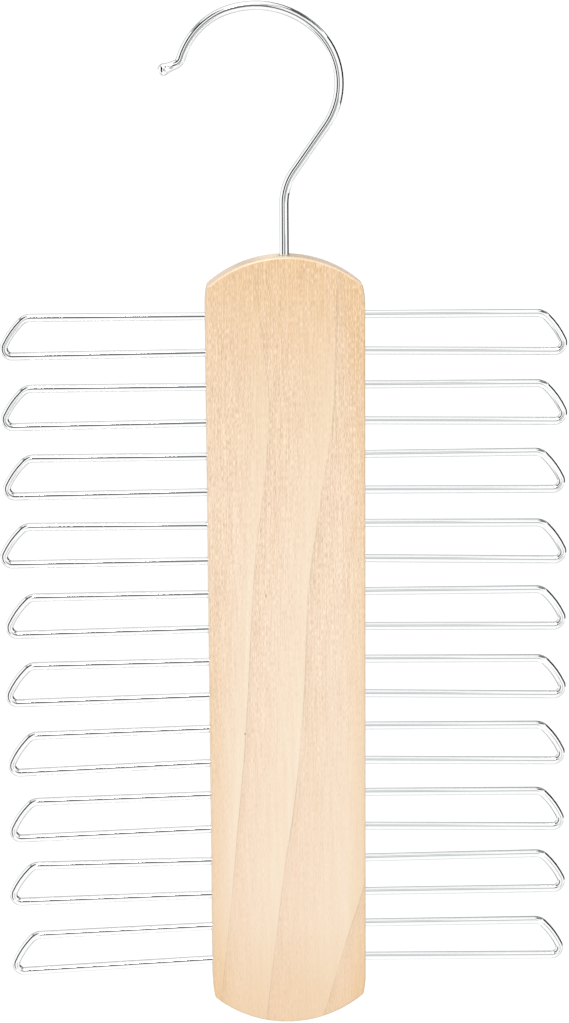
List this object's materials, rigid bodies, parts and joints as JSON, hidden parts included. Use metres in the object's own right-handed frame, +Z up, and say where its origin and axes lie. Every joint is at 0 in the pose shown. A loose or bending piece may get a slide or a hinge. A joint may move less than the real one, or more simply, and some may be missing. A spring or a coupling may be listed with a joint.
{
  "type": "tie hanger",
  "caption": "Flat wooden board hung from a swivelling wire hook, with rows of U-shaped wire loops in both edges for hanging ties or belts.",
  "frame": {"origin": "the point inside the hook's crown that rests on a wardrobe rail", "axes": "+Z up along the board's length, +X to the right of someone facing the front, +Y to the back, through the board's thickness"},
  "size_m": [0.2053, 0.012, 0.3734],
  "materials": {
    "natural_wood": "pale natural hardwood, sanded and clear lacquered",
    "bright_plating": "steel wire, bright chrome plated",
    "sleeve_steel": "plain drawn steel tube"
  },
  "bodies": {
    "hook": {"hook": "bright_plating"},
    "rack": {"board": "natural_wood", "hook_sleeve": "sleeve_steel", "left_loop_01": "bright_plating", "left_loop_02": "bright_plating", "left_loop_03": "bright_plating", "left_loop_04": "bright_plating", "left_loop_05": "bright_plating", "left_loop_06": "bright_plating", "left_loop_07": "bright_plating", "left_loop_08": "bright_plating", "left_loop_09": "bright_plating", "left_loop_10": "bright_plating", "right_loop_01": "bright_plating", "right_loop_02": "bright_plating", "right_loop_03": "bright_plating", "right_loop_04": "bright_plating", "right_loop_05": "bright_plating", "right_loop_06": "bright_plating", "right_loop_07": "bright_plating", "right_loop_08": "bright_plating", "right_loop_09": "bright_plating", "right_loop_10": "bright_plating"}
  },
  "joints": [
    {"name": "hook_swivel", "type": "hinge", "parent": "hook", "child": "rack", "pos_m": [0.00965, 0, -0.08525], "axis": [0, 0, 1], "continuous": true}
  ]
}
